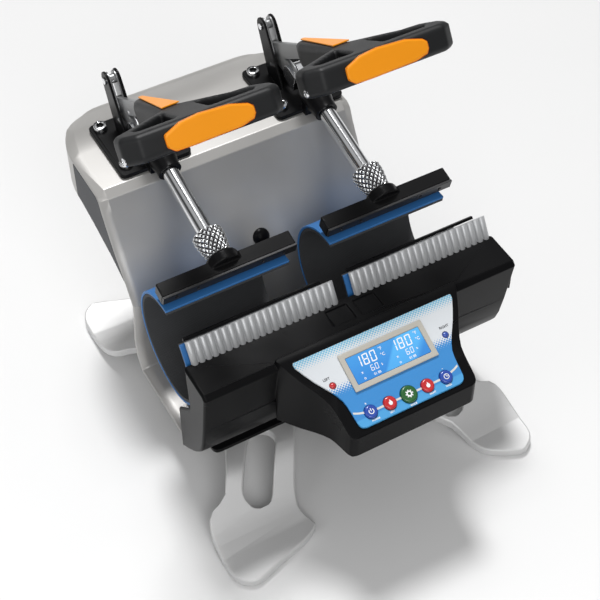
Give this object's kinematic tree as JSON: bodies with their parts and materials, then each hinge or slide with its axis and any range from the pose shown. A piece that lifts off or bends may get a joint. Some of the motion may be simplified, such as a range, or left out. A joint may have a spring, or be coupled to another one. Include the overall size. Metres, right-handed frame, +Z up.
{
  "type": "mug heat press",
  "caption": "Bench heat press with two side by side mug mats, push-pull toggle clamps with raised loop handles, a silver bent shell, splayed leaf legs and a sloped control console.",
  "frame": {"origin": "middle of the footprint box, on the resting surface", "axes": "+X along both mugs to the right seen from the front, +Y to the back where the handles are clamped, +Z up"},
  "size_m": [0.3128, 0.399, 0.376],
  "materials": {
    "silver_paint": "satin silver powder coat",
    "black_paint": "satin black powder coat",
    "dark_grey_plastic": "fine grained dark grey plastic",
    "black_plastic": "satin black plastic",
    "chrome": "polished chrome plating",
    "zinc_steel": "zinc plated sheet steel",
    "leg_steel": "light metallic grey coat",
    "handle_plastic": "charcoal moulded grip",
    "orange_plastic": "orange moulded insert",
    "ribbed_aluminium": "ribbed light grey extrusion",
    "blue_silicone": "blue silicone",
    "dark_lining": "dark grey heating lining",
    "panel_film": "printed white to blue film with a dot pattern",
    "bezel_plastic": "beige grey plastic",
    "lcd_glass": "blue back-lit display",
    "circuit_board": "green circuit board",
    "blue_key": "glossy blue key",
    "red_key": "glossy red key",
    "green_key": "glossy green key"
  },
  "bodies": {
    "frame": {"shell": "silver_paint", "end_cap_left": "dark_grey_plastic", "end_cap_right": "dark_grey_plastic", "wall_grommet": "black_plastic", "front_housing": "black_plastic", "label_panel": "panel_film", "display_frame": "bezel_plastic", "display_glass": "lcd_glass", "lamp_left": "red_key", "lamp_right": "blue_key", "control_board": "circuit_board", "base_plate": "black_paint", "leg_front_left": "leg_steel", "leg_front_right": "leg_steel", "leg_rear_left": "leg_steel", "leg_rear_right": "leg_steel", "power_inlet": "black_plastic", "switch_frame": "black_plastic", "mat_trough_skin_left": "blue_silicone", "mat_trough_lining_left": "dark_lining", "mat_cradle_left": "black_plastic", "ribbed_strip_left": "ribbed_aluminium", "edge_bar_left": "black_plastic", "clamp_base_left": "black_paint", "pivot_pin_left": "chrome", "mat_trough_skin_right": "blue_silicone", "mat_trough_lining_right": "dark_lining", "mat_cradle_right": "black_plastic", "ribbed_strip_right": "ribbed_aluminium", "edge_bar_right": "black_plastic", "clamp_base_right": "black_paint", "pivot_pin_right": "chrome"},
    "plunger_left": {"plunger_rod_left": "chrome", "press_bar_left": "black_paint", "clamp_strip_left": "zinc_steel", "mat_flap_skin_left": "blue_silicone", "mat_flap_lining_left": "dark_lining"},
    "handle_left": {"lever_left": "zinc_steel", "handle_left": "handle_plastic", "grip_insert_left": "orange_plastic", "neck_inlay_left": "orange_plastic"},
    "link_left": {"swing_link_left": "zinc_steel"},
    "nut_left": {"knurled_nut_left": "chrome"},
    "plunger_right": {"plunger_rod_right": "chrome", "press_bar_right": "black_paint", "clamp_strip_right": "zinc_steel", "mat_flap_skin_right": "blue_silicone", "mat_flap_lining_right": "dark_lining"},
    "handle_right": {"lever_right": "zinc_steel", "handle_right": "handle_plastic", "grip_insert_right": "orange_plastic", "neck_inlay_right": "orange_plastic"},
    "link_right": {"swing_link_right": "zinc_steel"},
    "nut_right": {"knurled_nut_right": "chrome"},
    "key_1": {"button_1": "blue_key"},
    "key_2": {"button_2": "red_key"},
    "key_3": {"button_3": "green_key"},
    "key_4": {"button_4": "red_key"},
    "key_5": {"button_5": "blue_key"},
    "rocker": {"switch_rocker": "red_key"}
  },
  "joints": [
    {"name": "plunger_left_slide", "type": "slide", "parent": "frame", "child": "plunger_left", "axis": [0, -0.9706, -0.2406], "range_m": [-0.0014, 0.0065]},
    {"name": "handle_left_hinge", "type": "hinge", "parent": "plunger_left", "child": "handle_left", "pos_m": [-0.07908, 0.1023, 0.24991], "axis": [1, 0, 0], "range_deg": [-5, 26]},
    {"name": "link_left_hinge", "type": "hinge", "parent": "frame", "child": "link_left", "pos_m": [-0.08558, 0.1485, 0.272], "axis": [1, 0, 0], "range_deg": [-42, 9]},
    {"name": "nut_left_spin", "type": "hinge", "parent": "plunger_left", "child": "nut_left", "pos_m": [-0.07908, -0.0365, 0.2155], "axis": [0, -0.9706, -0.2406], "continuous": true},
    {"name": "plunger_right_slide", "type": "slide", "parent": "frame", "child": "plunger_right", "axis": [0, -0.9706, -0.2406], "range_m": [-0.0014, 0.0065]},
    {"name": "handle_right_hinge", "type": "hinge", "parent": "plunger_right", "child": "handle_right", "pos_m": [0.07092, 0.1023, 0.24991], "axis": [1, 0, 0], "range_deg": [-5, 26]},
    {"name": "link_right_hinge", "type": "hinge", "parent": "frame", "child": "link_right", "pos_m": [0.06442, 0.1485, 0.272], "axis": [1, 0, 0], "range_deg": [-42, 9]},
    {"name": "nut_right_spin", "type": "hinge", "parent": "plunger_right", "child": "nut_right", "pos_m": [0.07092, -0.0365, 0.2155], "axis": [0, -0.9706, -0.2406], "continuous": true},
    {"name": "key_1_press", "type": "slide", "parent": "frame", "child": "key_1", "axis": [0, 0.3894, -0.9211], "range_m": [0, 0.0012], "stiffness_N_per_m": 200},
    {"name": "key_2_press", "type": "slide", "parent": "frame", "child": "key_2", "axis": [0, 0.3894, -0.9211], "range_m": [0, 0.0012], "stiffness_N_per_m": 200},
    {"name": "key_3_press", "type": "slide", "parent": "frame", "child": "key_3", "axis": [0, 0.3894, -0.9211], "range_m": [0, 0.0012], "stiffness_N_per_m": 200},
    {"name": "key_4_press", "type": "slide", "parent": "frame", "child": "key_4", "axis": [0, 0.3894, -0.9211], "range_m": [0, 0.0012], "stiffness_N_per_m": 200},
    {"name": "key_5_press", "type": "slide", "parent": "frame", "child": "key_5", "axis": [0, 0.3894, -0.9211], "range_m": [0, 0.0012], "stiffness_N_per_m": 200},
    {"name": "rocker_hinge", "type": "hinge", "parent": "frame", "child": "rocker", "pos_m": [0.15192, -0.1035, 0.108], "axis": [0, 1, 0], "range_deg": [-11.4, 0]}
  ],
  "couplings": [
    {"joint": "plunger_left_slide", "follows": "handle_left_hinge", "m_per_rad": 0.0141},
    {"joint": "link_left_hinge", "follows": "handle_left_hinge", "ratio": -1.6},
    {"joint": "plunger_right_slide", "follows": "handle_right_hinge", "m_per_rad": 0.0141},
    {"joint": "link_right_hinge", "follows": "handle_right_hinge", "ratio": -1.6}
  ]
}
